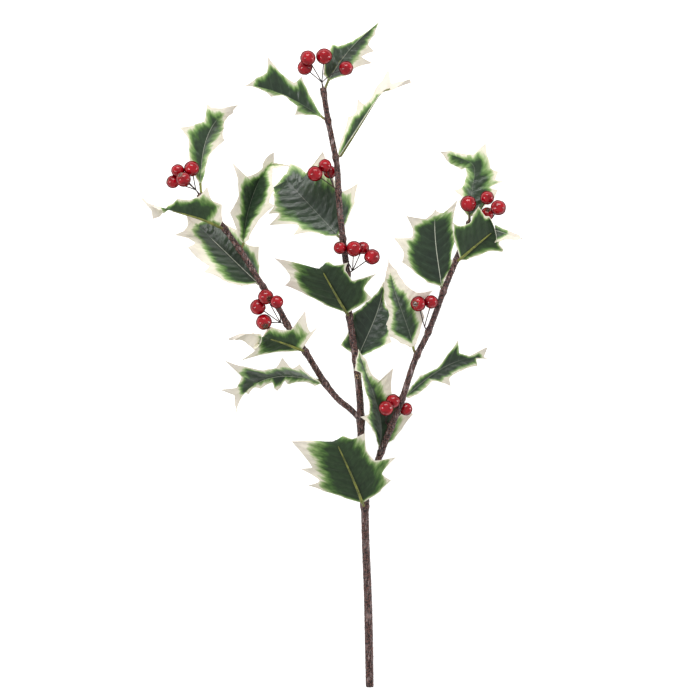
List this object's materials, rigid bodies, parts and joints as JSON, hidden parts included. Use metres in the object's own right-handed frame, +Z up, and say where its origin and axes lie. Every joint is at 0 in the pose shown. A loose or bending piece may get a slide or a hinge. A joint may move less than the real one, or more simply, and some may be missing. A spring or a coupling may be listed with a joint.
{
  "type": "artificial holly spray",
  "caption": "Artificial variegated holly spray: a forked brown stem with spiny cream-edged leaves and glossy red berries on wires, for wreaths, vases and table arrangements.",
  "frame": {"origin": "middle of the footprint, on the table that the spray lies on", "axes": "+Y runs from the cut end of the main stem to its tip, +X to the right seen from above, +Z up"},
  "size_m": [0.3712, 0.6668, 0.0727],
  "materials": {
    "stem": "moulded brown plastic, rough with small bumps, greyer in the hollows",
    "leaf": "pressed and printed fabric, satin dark green with a light green and cream margin, yellow-green moulded rib on the back",
    "wire": "thin wire with a dark brown coating",
    "berry": "red lacquer, glossy, with small dark blotches at the blossom end"
  },
  "bodies": {
    "root": {"main_stem": "stem", "left_branch": "stem", "right_branch": "stem", "leaf_main_1": "leaf", "leaf_main_2": "leaf", "leaf_main_3": "leaf", "leaf_main_4": "leaf", "leaf_main_5": "leaf", "leaf_main_6": "leaf", "leaf_main_7": "leaf", "leaf_left_1": "leaf", "leaf_left_2": "leaf", "leaf_left_3": "leaf", "leaf_left_4": "leaf", "leaf_left_5": "leaf", "leaf_left_6": "leaf", "leaf_right_1": "leaf", "leaf_right_2": "leaf", "leaf_right_3": "leaf", "leaf_right_4": "leaf", "leaf_right_5": "leaf", "leaf_right_6": "leaf", "berry_pick_1": "wire", "berry_1": "berry", "berry_2": "berry", "berry_3": "berry", "berry_4": "berry", "berry_pick_2": "wire", "berry_5": "berry", "berry_6": "berry", "berry_7": "berry", "berry_pick_3": "wire", "berry_8": "berry", "berry_9": "berry", "berry_10": "berry", "berry_11": "berry", "berry_pick_4": "wire", "berry_12": "berry", "berry_13": "berry", "berry_14": "berry", "berry_15": "berry", "berry_pick_5": "wire", "berry_16": "berry", "berry_17": "berry", "berry_18": "berry", "berry_19": "berry", "berry_pick_6": "wire", "berry_20": "berry", "berry_21": "berry", "berry_22": "berry", "berry_23": "berry", "berry_pick_7": "wire", "berry_24": "berry", "berry_25": "berry", "berry_pick_8": "wire", "berry_26": "berry", "berry_27": "berry", "berry_28": "berry"}
  },
  "joints": []
}
